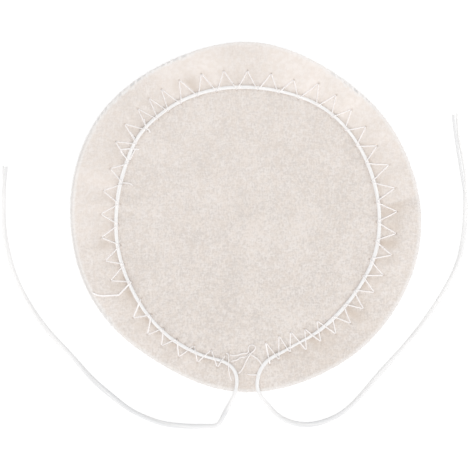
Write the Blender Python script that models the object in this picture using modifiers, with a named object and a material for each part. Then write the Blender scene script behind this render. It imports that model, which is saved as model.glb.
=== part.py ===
# Siphon coffee filter cloth, laid flat: a round of brushed cotton with a drawstring couched
# on it in a ring by a zigzag lockstitch. Metres, +Z up. The origin is under the middle of the
# cloth, on the surface that it lies on.

import math

import bmesh
import bpy
import numpy as np

# Cloth
cloth_diameter = 0.0945
cloth_thickness = 0.0008
edge_margin = 0.00645
edge_wave_height = 0.0011
cloth_slope_run = 0.0033
cloth_corners = 120

# Drawstring and sewing thread
cord_diameter = 0.0010
cord_points = 78
cord_drop_run = 0.0050
cord_step = 0.0003
thread_diameter = 0.0003
zigzag_width = 0.0045
needle_turn = 0.0004
loose_thread_step = 0.0006
millimetre = 0.001

# Clearances: between pieces that lie on each other, and above the surface under the part
seat_gap = 0.0003
floor_gap = 0.00005

cord_radius = cord_diameter / 2
thread_radius = thread_diameter / 2
loop_radius = cloth_diameter / 2 - edge_margin - zigzag_width
stitch_lift = floor_gap + thread_diameter + seat_gap
cord_reach = cord_radius + seat_gap + thread_radius

# Where a stitch's leg over the drawstring is looked at and bent, as shares of its run, and how
# round the tubes are
leg_samples = 81
leg_bends = (0.1, 0.5, 0.9)
cord_resolution = 2
thread_resolution = 1

# Rings of faces on the cloth's slope, on its raised ring, and from there to the cut edge
slope_rings = (0.33, 0.67, 1.0)
ridge_rings = (0.5, 1.0)
margin_rings = (0.33, 0.67, 1.0)

# The round is cut by hand: lobes in each turn, height, and the bearing of one peak in degrees
cut_lobes = (
    (1, 0.00033, 190.0),
    (2, 0.00076, 146.7),
    (4, 0.00027, 0.2),
    (5, 0.00015, 71.4),
    (6, 0.00025, 27.9),
    (7, 0.00007, 46.8),
    (8, 0.00009, 41.9),
)

# The margin outside the stitching ripples: waves in each turn, share of the height, bearing
edge_waves = ((5, 0.26, 12.0), (8, 0.34, 31.0), (13, 0.40, 5.0))

# The couched ring, from the left exit round to the right one: bearing, offset from loop_radius
ring_route = (
    (260.0, 0.00335),
    (255.0, 0.00320),
    (248.0, 0.00295),
    (240.0, 0.00259),
    (230.0, 0.00183),
    (220.0, 0.00102),
    (210.0, 0.00028),
    (200.0, -0.00020),
    (190.0, -0.00061),
    (178.0, -0.00102),
    (166.0, -0.00095),
    (155.0, -0.00058),
    (144.0, 0.00020),
    (130.0, 0.00007),
    (115.0, -0.00028),
    (100.0, -0.00075),
    (88.0, -0.00102),
    (72.0, -0.00078),
    (58.0, -0.00010),
    (44.0, 0.00010),
    (20.0, -0.00020),
    (0.0, -0.00004),
    (-14.0, 0.00018),
    (-32.0, -0.00012),
    (-50.0, 0.00012),
    (-62.0, 0.00060),
    (-70.0, 0.00102),
    (-76.0, 0.00190),
    (-81.0, 0.00300),
)

# Free ends of the drawstring, in millimetres: the left one from its tip, the right one to its tip
left_tail_mm = (
    (-65.3, 13.5),
    (-65.6, 6.0),
    (-65.6, -1.7),
    (-64.9, -7.4),
    (-63.2, -14.1),
    (-60.3, -20.8),
    (-56.9, -26.5),
    (-52.7, -31.9),
    (-47.4, -37.4),
    (-41.1, -44.4),
    (-36.4, -48.4),
    (-31.8, -51.9),
    (-27.1, -54.3),
    (-22.4, -55.9),
    (-17.8, -56.5),
    (-13.1, -56.7),
    (-9.8, -56.65),
    (-8.5, -56.55),
    (-7.5, -56.05),
    (-6.85, -55.2),
    (-5.35, -52.3),
    (-3.5, -48.9),
    (-2.7, -46.6),
    (-2.5, -44.2),
    (-2.9, -42.3),
    (-4.0, -40.7),
)
right_tail_mm = (
    (3.9, -41.6),
    (3.2, -43.9),
    (3.1, -46.2),
    (4.0, -48.6),
    (6.2, -51.2),
    (8.6, -53.6),
    (11.8, -55.3),
    (15.6, -56.1),
    (20.6, -55.4),
    (25.6, -53.1),
    (30.6, -48.7),
    (35.5, -43.0),
    (40.5, -37.4),
    (46.0, -31.0),
    (51.1, -24.0),
    (54.9, -17.5),
    (57.5, -11.5),
    (58.9, -4.5),
    (59.3, 2.0),
    (59.0, 9.5),
    (58.1, 15.7),
    (57.0, 22.3),
    (56.5, 27.6),
)

# Needle holes on the outer side: stitch, bearing, and how far the zigzag reaches inside and
# outside the drawstring there, as shares of zigzag_width
long_seam = (
    (0, 283.0, 0.83, 0.28),
    (1, 288.0, 0.67, 0.21),
    (2, 294.3, 0.40, 0.57),
    (3, 301.0, 0.38, 0.58),
    (4, 307.5, 0.00, 0.76),
    (5, 314.5, 0.03, 0.91),
    (8, 337.0, 0.03, 0.91),
    (11, 362.0, 0.00, 1.05),
    (13, 380.0, 0.00, 1.14),
    (14, 388.5, 0.00, 0.93),
    (16, 405.5, 0.00, 0.99),
    (18, 421.5, 0.00, 1.15),
    (19, 430.8, 0.00, 0.84),
    (22, 458.7, 0.00, 1.02),
    (24, 476.0, 0.00, 1.15),
    (25, 483.5, 0.00, 1.20),
    (27, 495.0, 0.00, 1.12),
    (29, 510.0, 0.00, 1.06),
    (30, 520.3, 0.00, 0.77),
    (31, 529.5, 0.00, 0.90),
    (34, 557.3, 0.00, 0.87),
    (35, 565.2, 0.00, 0.91),
    (36, 573.8, 0.00, 0.91),
)
short_seam = (
    (0, 573.8, 0.06, 0.80),
    (1, 581.8, 0.00, 0.79),
    (2, 590.0, 0.00, 0.76),
    (3, 596.7, 0.00, 0.69),
    (4, 604.3, 0.18, 0.66),
    (5, 611.5, 0.31, 0.47),
    (6, 619.2, 0.42, 0.39),
)

# Thread that leaves the zigzag, in millimetres from the point of the ring at the given bearing,
# with how many threads it passes over there
exits_bearing = 270.0
seam_start_mm = ((6.5, -3.6), (5.3, 2.4))
seam_finish_mm = ((-5.5, -1.0), (-4.7, -0.5))
short_seam_end_mm = (
    (-4.75, -2.4, 0),
    (-4.75, -4.3, 0),
    (-4.6, -5.7, 0),
    (-4.3, -6.9, 0),
    (-3.9, -8.1, 0),
)
upper_knotted_mm = (
    (-3.9, -1.0, 0),
    (-2.0, -1.1, 0),
    (-0.2, -0.5, 0),
    (0.5, -0.4, 1),
    (0.8, 0.3, 1),
    (0.9, 1.2, 0),
    (1.3, 1.7, 0),
    (2.1, 1.6, 0),
    (2.6, 1.0, 0),
    (2.2, 0.2, 1),
    (1.3, -0.7, 2),
    (0.6, -1.5, 2),
    (0.2, -2.1, 0),
    (-0.4, -3.2, 0),
    (-0.8, -4.3, 0),
    (-1.3, -5.0, 0),
)
lower_knotted_mm = (
    (-3.1, -2.9, 0),
    (-2.0, -2.0, 0),
    (-1.2, -1.6, 0),
    (-0.4, -1.6, 0),
    (0.4, -1.1, 0),
    (1.2, -1.0, 0),
    (2.4, -1.6, 0),
    (3.3, -2.3, 0),
    (3.7, -2.9, 0),
)
right_end_mm = ((0.6, -6.2, 0), (1.3, -6.4, 0), (2.2, -6.35, 0))
long_seam_end_bearing = 210.0
long_seam_end_mm = (
    (-2.95, -2.95, 0),
    (-6.05, -3.15, 0),
    (-9.15, -2.85, 0),
    (-10.15, -2.35, 0),
)
left_end_bearing = 165.0
left_end_mm = ((2.55, -0.4, 0), (3.45, -0.7, 0), (4.35, -0.9, 0))


def clear_scene():
    for obj in list(bpy.data.objects):
        bpy.data.objects.remove(obj, do_unlink=True)


def make_collection(name):
    collection = bpy.data.collections.new(name)
    bpy.context.scene.collection.children.link(collection)
    return collection


def make_material(name, color, roughness):
    material = bpy.data.materials.new(name)
    material.use_nodes = True
    shader = material.node_tree.nodes["Principled BSDF"]
    shader.inputs["Base Color"].default_value = (*color, 1.0)
    shader.inputs["Roughness"].default_value = roughness
    shader.inputs["Metallic"].default_value = 0.0
    return material


def ease(share):
    """0 to 1 with level ends, for a number or an array."""
    held = np.clip(share, 0.0, 1.0)
    return held * held * (3.0 - 2.0 * held)


def polar(bearing, radius):
    return (radius * math.cos(math.radians(bearing)), radius * math.sin(math.radians(bearing)))


def from_mm(points):
    return [(x * millimetre, y * millimetre) for x, y in points]


def from_ring(points, bearing):
    """Points in metres, from millimetres beside the ring's point at a bearing; a level is kept."""
    ring_x, ring_y = polar(bearing, loop_radius)
    return [
        (ring_x + x * millimetre, ring_y + y * millimetre, *level) for x, y, *level in points
    ]


def smooth_curve(points, spacing):
    """Points at about the given spacing on a natural cubic spline through the given points."""
    knots = np.asarray(points, float)
    at = np.concatenate([[0.0], np.cumsum(np.linalg.norm(np.diff(knots[:, :2], axis=0), axis=1))])
    gaps = np.diff(at)
    count = len(at)
    system = np.eye(count)
    target = np.zeros_like(knots)
    for i in range(1, count - 1):
        system[i, i - 1 : i + 2] = (gaps[i - 1], 2 * (gaps[i - 1] + gaps[i]), gaps[i])
        target[i] = 6 * ((knots[i + 1] - knots[i]) / gaps[i] - (knots[i] - knots[i - 1]) / gaps[i - 1])
    bend = np.linalg.solve(system, target)
    where = np.linspace(0.0, at[-1], max(2, round(at[-1] / spacing) + 1))
    left = np.clip(np.searchsorted(at, where, side="right") - 1, 0, count - 2)
    gap = gaps[left][:, None]
    before = (where - at[left])[:, None]
    after = gap - before
    return (
        (bend[left] * after**3 + bend[left + 1] * before**3) / (6 * gap)
        + (knots[left] / gap - bend[left] * gap / 6) * after
        + (knots[left + 1] / gap - bend[left + 1] * gap / 6) * before
    )


def outline_radius(angle):
    """Distance from the middle to the cut edge, at an angle in radians."""
    radius = cloth_diameter / 2
    for lobes, height, peak in cut_lobes:
        radius = radius + height * np.cos(lobes * (angle - math.radians(peak)))
    return radius


def drawstring_plan():
    """The drawstring's route from above, closely sampled, from the left tip to the right tip."""
    ring = [polar(bearing, loop_radius + offset) for bearing, offset in ring_route]
    return smooth_curve(from_mm(left_tail_mm) + ring + from_mm(right_tail_mm), cord_step)


def ring_line_radius(bearing):
    """Distance from the middle to the drawstring's centreline, at a bearing in degrees."""
    bearings = [turn % 360 for turn, _ in ring_route]
    offsets = [offset for _, offset in ring_route]
    return loop_radius + np.interp(bearing % 360, bearings, offsets, period=360)


def needle_holes(seam):
    """Outer and inner needle holes in turn, from the stitches that the seam's list gives."""
    stitches, bearings, inner_shares, outer_shares = (np.array(row) for row in zip(*seam))
    every = np.arange(stitches[0], stitches[-1] + 1)
    outer_bearings = np.interp(every, stitches, bearings)
    inside = np.interp(every, stitches, inner_shares) * zigzag_width
    outside = np.interp(every, stitches, outer_shares) * zigzag_width
    holes = []
    for i, bearing in enumerate(outer_bearings):
        holes.append(polar(bearing, ring_line_radius(bearing) + outside[i]))
        if i + 1 < len(outer_bearings):
            between = (bearing + outer_bearings[i + 1]) / 2
            holes.append(polar(between, ring_line_radius(between) - cord_reach - inside[i]))
    return holes


long_holes = from_ring(seam_start_mm, exits_bearing) + needle_holes(long_seam)[:-1]
short_holes = needle_holes(short_seam)[1:] + from_ring(seam_finish_mm, exits_bearing)
hole_radii = [math.hypot(*hole) for hole in long_holes + short_holes]
ridge_inner = min(hole_radii) - thread_diameter
ridge_outer = max(hole_radii) + thread_diameter
flat_radius = ridge_inner - cloth_slope_run


def cloth_underside(x, y):
    """Height of the cloth's underside: flat in the middle, raised over the thread, rippled outside."""
    radius = np.hypot(x, y)
    angle = np.arctan2(y, x)
    wave = 0
    for waves, share, peak in edge_waves:
        wave = wave + share * (1 + np.cos(waves * (angle - math.radians(peak)))) / 2
    margin = np.maximum(outline_radius(angle) - ridge_outer, seat_gap)
    raised = stitch_lift * ease((radius - flat_radius) / (ridge_inner - flat_radius))
    outward = ease((radius - ridge_outer) / margin)
    return raised * (1 - outward) + edge_wave_height * wave * outward


def cord_height(x, y):
    """Height of the drawstring's centreline: on the cloth, or down on the surface beside it."""
    angle = np.arctan2(y, x)
    edge = outline_radius(angle)
    beyond = np.hypot(x, y) - edge
    held = np.minimum(np.hypot(x, y), edge)
    on_cloth = cloth_underside(held * np.cos(angle), held * np.sin(angle))
    on_cloth = on_cloth + cloth_thickness + seat_gap + cord_radius
    on_floor = floor_gap + cord_radius
    return on_cloth + (on_floor - on_cloth) * ease(beyond / cord_drop_run)


def drawstring_points():
    """The drawstring's centreline, with its points closest together where it bends most."""
    plan = drawstring_plan()
    line = np.column_stack([plan, cord_height(plan[:, 0], plan[:, 1])])
    steps = np.linalg.norm(np.diff(line, axis=0), axis=1)
    heading = np.diff(line, axis=0) / steps[:, None]
    turns = np.zeros(len(steps))
    turns[1:] = np.arccos(np.clip((heading[1:] * heading[:-1]).sum(axis=1), -1, 1))
    effort = np.concatenate([[0.0], np.cumsum(steps / steps.sum() + turns / turns.sum())])
    wanted = np.linspace(0.0, effort[-1], cord_points)
    return np.column_stack([np.interp(wanted, effort, line[:, axis]) for axis in range(3)])


cord_line = drawstring_points()


def over_cord(x, y):
    """Height of a thread's centreline where it crosses the drawstring, or None beside it."""
    start = cord_line[:-1]
    run = np.diff(cord_line, axis=0)
    point = np.array([x, y])
    flat = run[:, :2]
    share = np.clip(((point - start[:, :2]) * flat).sum(axis=1) / (flat**2).sum(axis=1), 0, 1)
    nearest = start + run * share[:, None]
    away = np.linalg.norm(nearest[:, :2] - point, axis=1)
    i = int(away.argmin())
    if away[i] >= cord_reach:
        return None
    return float(nearest[i, 2] + math.sqrt(cord_reach**2 - away[i] ** 2))


def thread_height(x, y, level=0):
    """Height of a loose thread's centreline on the cloth, over the drawstring or other threads."""
    on_cloth = float(cloth_underside(x, y)) + cloth_thickness + seat_gap + thread_radius
    on_cloth += level * (thread_diameter + seat_gap)
    crossing = over_cord(x, y)
    return on_cloth if crossing is None else max(on_cloth, crossing)


def cord_crossing(start, end):
    """Shares along a stitch's leg where it is over the drawstring, first and last."""
    shares = np.linspace(0.0, 1.0, leg_samples)
    over = [
        share
        for share in shares
        if over_cord(start[0] + (end[0] - start[0]) * share, start[1] + (end[1] - start[1]) * share)
    ]
    return (over[0], over[-1]) if over else None


def leg_points(start, end):
    """Points between two needle holes: up beside the drawstring, over its top, and down again."""
    crossing = cord_crossing(start, end)
    if crossing is None:
        return []
    first, last = crossing
    points = []
    for bend in leg_bends:
        share = first + (last - first) * bend
        x = start[0] + (end[0] - start[0]) * share
        y = start[1] + (end[1] - start[1]) * share
        points.append((x, y, thread_height(x, y)))
    return points


def turned_hole(before, hole, after, height):
    """The two corners of the narrow turn that a thread makes at a needle hole."""
    toward = np.array(before) - np.array(after)
    toward = toward / np.linalg.norm(toward) * needle_turn / 2
    return [(hole[0] + toward[0] * side, hole[1] + toward[1] * side, height) for side in (1, -1)]


def stitched_points(holes):
    """A needle thread's centreline through its holes, lying on the cloth and over the drawstring."""
    points = []
    for i, hole in enumerate(holes):
        before = holes[i - 1] if i else None
        after = holes[i + 1] if i + 1 < len(holes) else None
        height = thread_height(*hole)
        if before and after:
            points += turned_hole(before, hole, after, height)
        else:
            points.append((*hole, height))
        if after:
            points += leg_points(hole, after)
    return points


def laid_points(route, bearing):
    """A loose thread's centreline, following its route over the cloth and what lies on it."""
    line = smooth_curve(from_ring(route, bearing), loose_thread_step)
    return [(x, y, thread_height(x, y, max(0.0, level))) for x, y, level in line]


def underside_points(holes):
    """The bobbin thread's centreline, under the raised ring of the cloth."""
    height = floor_gap + thread_radius
    points = [(*holes[0], height)]
    for i in range(1, len(holes) - 1):
        points += turned_hole(holes[i - 1], holes[i], holes[i + 1], height)
    return points + [(*holes[-1], height)]


def make_tube(name, points, radius, resolution, material, collection):
    data = bpy.data.curves.new(name, "CURVE")
    data.dimensions = "3D"
    data.bevel_depth = radius
    data.bevel_resolution = resolution
    data.use_fill_caps = True
    spline = data.splines.new("POLY")
    spline.points.add(len(points) - 1)
    for spline_point, point in zip(spline.points, points):
        spline_point.co = (*point, 1.0)
    data.materials.append(material)
    tube = bpy.data.objects.new(name, data)
    collection.objects.link(tube)
    return tube


def place_on_outline(vertex, bearing_from, inner, share):
    """Moves a vertex out along its bearing, to a share of the way from a radius to the cut edge."""
    angle = math.atan2(bearing_from.y, bearing_from.x)
    radius = inner + (float(outline_radius(angle)) - inner) * share
    vertex.co.x = radius * math.cos(angle)
    vertex.co.y = radius * math.sin(angle)


def make_cloth(material, collection):
    """The round's underside as widening rings of faces, with the cloth's thickness above it."""
    bm = bmesh.new()
    bmesh.ops.create_circle(bm, cap_ends=True, segments=cloth_corners, radius=flat_radius)
    slope = ridge_inner - flat_radius
    ridge = ridge_outer - ridge_inner
    rings = [(flat_radius + slope * share, 0.0) for share in slope_rings]
    rings += [(ridge_inner + ridge * share, 0.0) for share in ridge_rings]
    rings += [(ridge_outer, share) for share in margin_rings]
    for inner, share in rings:
        border = [edge for edge in bm.edges if edge.is_boundary]
        grown = bmesh.ops.extrude_edge_only(bm, edges=border)["geom"]
        for vertex in grown:
            if isinstance(vertex, bmesh.types.BMVert):
                place_on_outline(vertex, vertex.co, inner, share)
    for vertex in bm.verts:
        if math.hypot(vertex.co.x, vertex.co.y) > flat_radius + cloth_thickness:
            vertex.co.z = float(cloth_underside(vertex.co.x, vertex.co.y))
    bmesh.ops.recalc_face_normals(bm, faces=bm.faces)
    middle = max(bm.faces, key=lambda face: face.calc_area())
    if middle.normal.z < 0:
        bmesh.ops.reverse_faces(bm, faces=bm.faces)
    mesh = bpy.data.meshes.new("filter_cloth")
    bm.to_mesh(mesh)
    bm.free()
    mesh.materials.append(material)
    mesh.shade_smooth()
    cloth = bpy.data.objects.new("filter_cloth", mesh)
    collection.objects.link(cloth)
    shell = cloth.modifiers.new("thickness", "SOLIDIFY")
    shell.thickness = cloth_thickness
    shell.offset = 1.0
    return cloth


def main():
    clear_scene()
    parts = make_collection("cloth_coffee_filter")
    cotton = make_material("brushed_cotton", (0.79, 0.73, 0.68), 0.95)
    cord_white = make_material("drawstring_cotton", (0.90, 0.89, 0.88), 0.85)
    thread_white = make_material("sewing_thread", (0.90, 0.87, 0.85), 0.7)

    make_cloth(cotton, parts)
    make_tube("drawstring", cord_line.tolist(), cord_radius, cord_resolution, cord_white, parts)

    long_tail = laid_points(long_seam_end_mm, long_seam_end_bearing)
    short_tail = laid_points(short_seam_end_mm, exits_bearing)
    threads = {
        "needle_thread_long_run": stitched_points(long_holes + [long_tail[0][:2]]) + long_tail[1:],
        "needle_thread_short_run": stitched_points(short_holes + [short_tail[0][:2]]) + short_tail[1:],
        "bobbin_thread": underside_points(long_holes + short_holes),
        "knotted_thread_upper": laid_points(upper_knotted_mm, exits_bearing),
        "knotted_thread_lower": laid_points(lower_knotted_mm, exits_bearing),
        "thread_end_right": laid_points(right_end_mm, exits_bearing),
        "thread_end_left": laid_points(left_end_mm, left_end_bearing),
    }
    for name, points in threads.items():
        make_tube(name, points, thread_radius, thread_resolution, thread_white, parts)


main()
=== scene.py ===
# Siphon coffee filter cloth, laid flat: a round of brushed cotton with a cut edge, a white
# drawstring couched on it by a zigzag lockstitch, and loose ends of cord and thread.
import math

import bpy
import numpy as np
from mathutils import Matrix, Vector
from mathutils.kdtree import KDTree


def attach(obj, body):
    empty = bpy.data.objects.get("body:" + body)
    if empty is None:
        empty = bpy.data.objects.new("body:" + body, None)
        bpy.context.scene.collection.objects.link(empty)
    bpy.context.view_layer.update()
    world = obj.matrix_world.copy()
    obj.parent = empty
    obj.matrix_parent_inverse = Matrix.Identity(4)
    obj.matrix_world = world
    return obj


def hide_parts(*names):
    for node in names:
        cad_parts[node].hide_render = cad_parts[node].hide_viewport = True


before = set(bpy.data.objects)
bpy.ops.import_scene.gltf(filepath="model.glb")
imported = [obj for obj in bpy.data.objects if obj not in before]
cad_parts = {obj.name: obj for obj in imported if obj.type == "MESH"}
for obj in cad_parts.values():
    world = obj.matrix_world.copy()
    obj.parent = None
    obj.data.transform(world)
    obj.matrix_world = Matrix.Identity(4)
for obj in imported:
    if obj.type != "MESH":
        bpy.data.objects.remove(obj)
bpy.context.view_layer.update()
bpy.ops.object.select_all(action="DESELECT")
print("frame loaded:", len(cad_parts), "nodes")


def newMaterial(name):
    material = bpy.data.materials.new(name)
    material.use_nodes = True
    return material, material.node_tree.nodes, material.node_tree.links


def mathStep(nodes, links, operation, *values):
    # one math node, whose values are numbers or other nodes' outputs
    step = nodes.new("ShaderNodeMath")
    step.operation = operation
    for socket, value in zip(step.inputs, values):
        if isinstance(value, (int, float)):
            socket.default_value = value
        else:
            links.new(value, socket)
    return step.outputs[0]


# camera, light and floor
studio = {
    "cameraHeight": 0.6,
    "viewWidth": 0.12756,
    "viewCentre": (-0.002985, -0.004885),
    "sensor": 36.0,
    "ambient": 0.69,
    "lamps": (
        # name, place, size, watts
        ("topLamp", (0.05, 0.05, 0.95), 0.70, 0.50),
        ("keyLamp", (-0.05, -0.45, 0.72), 0.80, 1.70),
        ("leftLamp", (-0.170, -0.030, 0.055), 0.10, 0.040),
        ("rightLamp", (0.165, -0.030, 0.055), 0.10, 0.040),
        ("frontLamp", (0.000, -0.180, 0.060), 0.10, 0.038),
        ("backLamp", (0.065, 0.150, 0.060), 0.10, 0.034),
    ),
    "floorSize": 6.0,
    "floorHeight": -0.00002,
    "floorAlbedo": 0.85,
    "floorShade": 0.25,
    "floorGlow": 0.85,
}


def cameraRays(nodes, links):
    # 1 for rays from the camera, from gloss and through glass
    path = nodes.new("ShaderNodeLightPath").outputs
    seen = mathStep(nodes, links, "MAXIMUM", path["Is Camera Ray"], path["Is Glossy Ray"])
    return mathStep(nodes, links, "MAXIMUM", seen, path["Is Transmission Ray"])


def makeCamera():
    data = bpy.data.cameras.new("camera")
    data.sensor_width = studio["sensor"]
    data.lens = studio["sensor"] * studio["cameraHeight"] / studio["viewWidth"]
    camera = bpy.data.objects.new("camera", data)
    camera.location = (*studio["viewCentre"], studio["cameraHeight"])
    bpy.context.scene.collection.objects.link(camera)
    bpy.context.scene.camera = camera
    bpy.context.scene.view_settings.view_transform = "Standard"


def makeLamps():
    for name, place, size, watts in studio["lamps"]:
        data = bpy.data.lights.new(name, "AREA")
        data.shape = "DISK"
        data.size = size
        data.energy = watts
        lamp = bpy.data.objects.new(name, data)
        lamp.location = place
        lamp.rotation_euler = (-Vector(place)).to_track_quat("-Z", "Y").to_euler()
        bpy.context.scene.collection.objects.link(lamp)


def makeWorld():
    world = bpy.data.worlds.new("paleRoom")
    world.use_nodes = True
    nodes, links = world.node_tree.nodes, world.node_tree.links
    level = nodes.new("ShaderNodeMapRange")
    level.inputs["To Min"].default_value = studio["ambient"]
    level.inputs["To Max"].default_value = 1.0
    links.new(cameraRays(nodes, links), level.inputs["Value"])
    background = nodes["Background"]
    background.inputs["Color"].default_value = (1.0, 1.0, 1.0, 1.0)
    links.new(level.outputs["Result"], background.inputs["Strength"])
    bpy.context.scene.world = world


def diffuse(nodes, level):
    shader = nodes.new("ShaderNodeBsdfDiffuse")
    shader.inputs["Color"].default_value = (level, level, level, 1.0)
    return shader.outputs[0]


def makeFloor():
    # white with the object's shadow to the camera, and a pale table to the object
    bpy.ops.mesh.primitive_plane_add(
        size=studio["floorSize"], location=(0, 0, studio["floorHeight"])
    )
    floor = bpy.context.object
    floor.name = "tableTop"
    material, nodes, links = newMaterial("paleTable")
    nodes.clear()
    glow = nodes.new("ShaderNodeEmission")
    glow.inputs["Strength"].default_value = studio["floorGlow"]
    white = nodes.new("ShaderNodeAddShader")
    links.new(diffuse(nodes, studio["floorShade"]), white.inputs[0])
    links.new(glow.outputs[0], white.inputs[1])
    seen = nodes.new("ShaderNodeMixShader")
    links.new(cameraRays(nodes, links), seen.inputs[0])
    links.new(diffuse(nodes, studio["floorAlbedo"]), seen.inputs[1])
    links.new(white.outputs[0], seen.inputs[2])
    output = nodes.new("ShaderNodeOutputMaterial")
    links.new(seen.outputs[0], output.inputs["Surface"])
    floor.data.materials.append(material)
    bpy.ops.object.select_all(action="DESELECT")


makeCamera()
makeLamps()
makeWorld()
makeFloor()
print("studio ready")


# the plan, in metres: where the cut edge, the cord and the stitches lie
cloth = {
    "diameter": 0.0945,
    "thickness": 0.0008,
    "edgeMargin": 0.00645,
    "slopeRun": 0.0033,
    "edgeWaveHeight": 0.0011,
    # the round is cut by hand: lobes in each turn, height, bearing of a peak
    "cutLobes": (
        (1, 0.00033, 190.0), (2, 0.00076, 146.7), (4, 0.00027, 0.2), (5, 0.00015, 71.4),
        (6, 0.00025, 27.9), (7, 0.00007, 46.8), (8, 0.00009, 41.9),
    ),
    # the margin ripples: waves in each turn, share of the height, bearing of a crest
    "edgeWaves": ((5, 0.26, 12.0), (8, 0.34, 31.0), (13, 0.40, 5.0)),
    # its folds: height, the level that they start from, and the run over which they begin
    "foldHeight": 0.00045,
    "foldLevel": 0.25,
    "foldRun": 0.008,
}
cord = {"diameter": 0.0010, "dropRun": 0.0050, "step": 0.00025}
thread = {"diameter": 0.0003, "zigzagWidth": 0.0045, "slopeStart": 0.018}
gap = {"seat": 0.0003, "floor": 0.00005}
# broad folds of the margin, as height and as painted light on their crests and painted shade in their
# hollows: bearing, half width in degrees, share, below zero in the hollows
rimFolds = (
    (30, 12, 0.20), (48, 8, 0.55), (66, 9, 0.60), (78, 6, 0.22), (105, 7, 0.45), (118, 6, 0.30),
    (135, 8, -0.06), (165, 5, 0.34), (180, 8, 0.24), (210, 6, 0.05), (225, 6, 0.14),
    (249, 7, 0.22), (270, 4, -0.17), (300, 7, -0.20), (319, 5, -0.19), (342, 7, 0.13),
)
# one sharp crease runs out to the edge: bearing at the ring and at the edge, shares of painted
# light above it and of painted shade below it
crease = {
    "bearings": (5.0, 7.4), "above": 0.26, "below": -0.72, "reach": 8.0,
    "depth": 0.00040, "width": 2.5,
}
# painted shade where cloth gathers beside the stitching: bearing, half width in degrees, share
gatherShades = (
    (65, 24, -0.14), (114, 6, 0.22), (129, 8, -0.08), (152, 5, 0.02), (192, 6, 0.24),
    (210, 5, 0.30), (225, 7, 0.10), (268, 20, -0.21), (318, 9, 0.18), (354, 8, 0.36),
)

cordRadius = cord["diameter"] / 2
threadRadius = thread["diameter"] / 2
plumpRadius = threadRadius * 1.70  # the loosely spun thread swells beyond its nominal size
plumpCord = cordRadius * 1.08
slackCord = cordRadius * 1.42  # the free ends aren't drawn tight and lie wider
loopRadius = cloth["diameter"] / 2 - cloth["edgeMargin"] - thread["zigzagWidth"]
stitchLift = gap["floor"] + thread["diameter"] + gap["seat"]
cordReach = cordRadius + gap["seat"] + threadRadius

# the couched ring, from the left exit round to the right one: bearing, offset from the ring
ringRoute = (
    (260, 0.00335), (255, 0.00320), (248, 0.00295), (240, 0.00259), (230, 0.00183),
    (220, 0.00102), (210, 0.00028), (200, -0.00020), (190, -0.00061), (178, -0.00102),
    (166, -0.00095), (155, -0.00058), (144, 0.00020), (130, 0.00007), (115, -0.00028),
    (100, -0.00075), (88, -0.00102), (72, -0.00078), (58, -0.00010), (44, 0.00010),
    (20, -0.00020), (0, -0.00004), (-14, 0.00018), (-32, -0.00012), (-50, 0.00012),
    (-62, 0.00060), (-70, 0.00102), (-76, 0.00190), (-81, 0.00300),
)
# the free ends: the left one from its tip, the right one to its tip
leftTailRoute = (
    (-0.0653, 0.0135), (-0.0656, 0.0060), (-0.0656, -0.0017), (-0.0649, -0.0074),
    (-0.0632, -0.0141), (-0.0603, -0.0208), (-0.0569, -0.0265), (-0.0527, -0.0319),
    (-0.0474, -0.0374), (-0.0411, -0.0444), (-0.0364, -0.0484), (-0.0318, -0.0519),
    (-0.0271, -0.0543), (-0.0224, -0.0559), (-0.0178, -0.0565), (-0.0131, -0.0567),
    (-0.0098, -0.05665), (-0.0085, -0.05655), (-0.0075, -0.05605), (-0.00685, -0.0552),
    (-0.00535, -0.0523), (-0.0035, -0.0489), (-0.0027, -0.0466), (-0.0025, -0.0442),
    (-0.0029, -0.0423), (-0.0040, -0.0407),
)
rightTailRoute = (
    (0.0039, -0.0416), (0.0032, -0.0439), (0.0031, -0.0462), (0.0040, -0.0486),
    (0.0062, -0.0512), (0.0086, -0.0536), (0.0118, -0.0553), (0.0156, -0.0561),
    (0.0206, -0.0554), (0.0256, -0.0531), (0.0306, -0.0487), (0.0355, -0.0430),
    (0.0405, -0.0374), (0.0460, -0.0310), (0.0511, -0.0240), (0.0549, -0.0175),
    (0.0575, -0.0115), (0.0589, -0.0045), (0.0593, 0.0020), (0.0590, 0.0095),
    (0.0581, 0.0157), (0.0570, 0.0223), (0.0565, 0.0276),
)
# outer needle holes: stitch, bearing, reach inside and outside the cord as shares of the width
longSeam = (
    (0, 283.0, 0.83, 0.28), (1, 288.0, 0.67, 0.21), (2, 294.3, 0.40, 0.57),
    (3, 301.0, 0.38, 0.58), (4, 307.5, 0.00, 0.76), (5, 314.5, 0.03, 0.91),
    (8, 337.0, 0.03, 0.91), (11, 362.0, 0.00, 1.05), (13, 380.0, 0.00, 1.14),
    (14, 388.5, 0.00, 0.93), (16, 405.5, 0.00, 0.99), (18, 421.5, 0.00, 1.15),
    (19, 430.8, 0.00, 0.84), (22, 458.7, 0.00, 1.02), (24, 476.0, 0.00, 1.15),
    (25, 483.5, 0.00, 1.20), (27, 495.0, 0.00, 1.12), (29, 510.0, 0.00, 1.06),
    (30, 520.3, 0.00, 0.77), (31, 529.5, 0.00, 0.90), (34, 557.3, 0.00, 0.87),
    (35, 565.2, 0.00, 0.91), (36, 573.8, 0.00, 0.91),
)
shortSeam = (
    (0, 573.8, 0.06, 0.80), (1, 581.8, 0.00, 0.79), (2, 590.0, 0.00, 0.76),
    (3, 596.7, 0.00, 0.69), (4, 604.3, 0.18, 0.66), (5, 611.5, 0.31, 0.47),
    (6, 619.2, 0.42, 0.39),
)
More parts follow.
